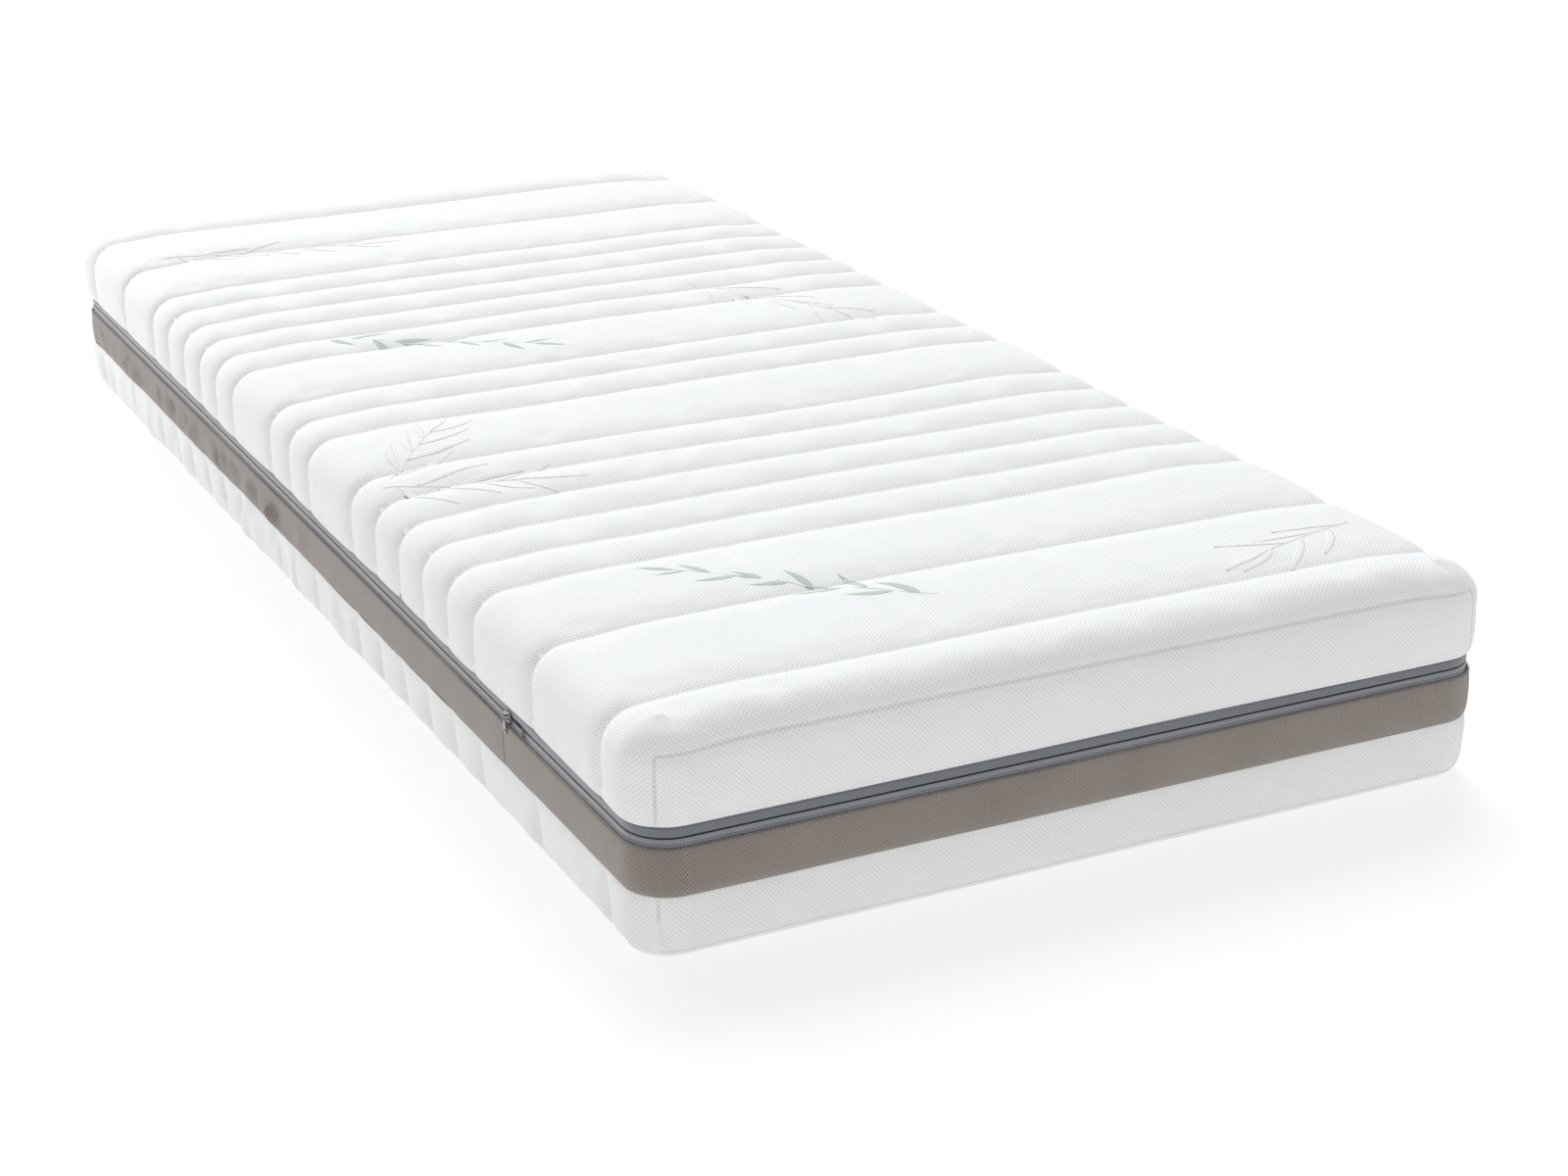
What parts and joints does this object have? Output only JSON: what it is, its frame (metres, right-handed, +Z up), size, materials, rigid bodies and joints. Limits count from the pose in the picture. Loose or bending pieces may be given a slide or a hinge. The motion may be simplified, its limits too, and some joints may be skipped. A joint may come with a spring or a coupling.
{
  "type": "pressure relief mattress",
  "caption": "Zoned foam mattress in a zip-off quilted cover, with a mesh border band, a zip all round and its slider and pull.",
  "frame": {"origin": "centre of the flat underside, which rests on the bed base", "axes": "+Z up, +Y along the length towards the head end, +X across the width; the zip's slider is on the -X side"},
  "size_m": [0.9041, 2, 0.22],
  "materials": {
    "knit": "matte",
    "wadding": "matte",
    "backing": "matte",
    "spacer_mesh": "matte",
    "zip_tape": "matte",
    "zip_coil": "satin",
    "zip_metal": "satin",
    "comfort_foam": "matte",
    "zone_foam": "matte",
    "base_foam": "matte"
  },
  "bodies": {
    "mattress": {"lower_quilt_panel": "knit", "lower_end_panel_head": "knit", "lower_end_panel_foot": "knit", "lower_wadding": "wadding", "lower_backing": "backing", "side_band": "spacer_mesh", "lower_zip_tape": "zip_tape", "lower_zip_coil": "zip_coil", "zip_stop": "zip_coil", "comfort_layer": "comfort_foam", "zone_head": "zone_foam", "zone_shoulder": "zone_foam", "zone_lumbar": "zone_foam", "zone_pelvis": "zone_foam", "zone_thigh": "zone_foam", "zone_calf": "zone_foam", "zone_foot": "zone_foam", "base_layer": "base_foam"},
    "top_cover": {"top_quilt_panel": "knit", "top_end_panel_head": "knit", "top_end_panel_foot": "knit", "top_wadding": "wadding", "top_backing": "backing", "upper_zip_tape": "zip_tape", "upper_zip_coil": "zip_coil"},
    "slider": {"zip_slider": "zip_metal"},
    "pull": {"zip_pull": "zip_metal"}
  },
  "joints": [
    {"name": "top_cover_lift", "type": "slide", "parent": "mattress", "child": "top_cover", "axis": [0, 0, 1], "range_m": [0, 0.25]},
    {"name": "zip_travel", "type": "slide", "parent": "mattress", "child": "slider", "axis": [0, 1, 0], "range_m": [0, 1.55]},
    {"name": "pull_swing", "type": "hinge", "parent": "slider", "child": "pull", "pos_m": [-0.4518, -0.685, 0.119], "axis": [0, 1, 0], "range_deg": [0, 170]}
  ]
}
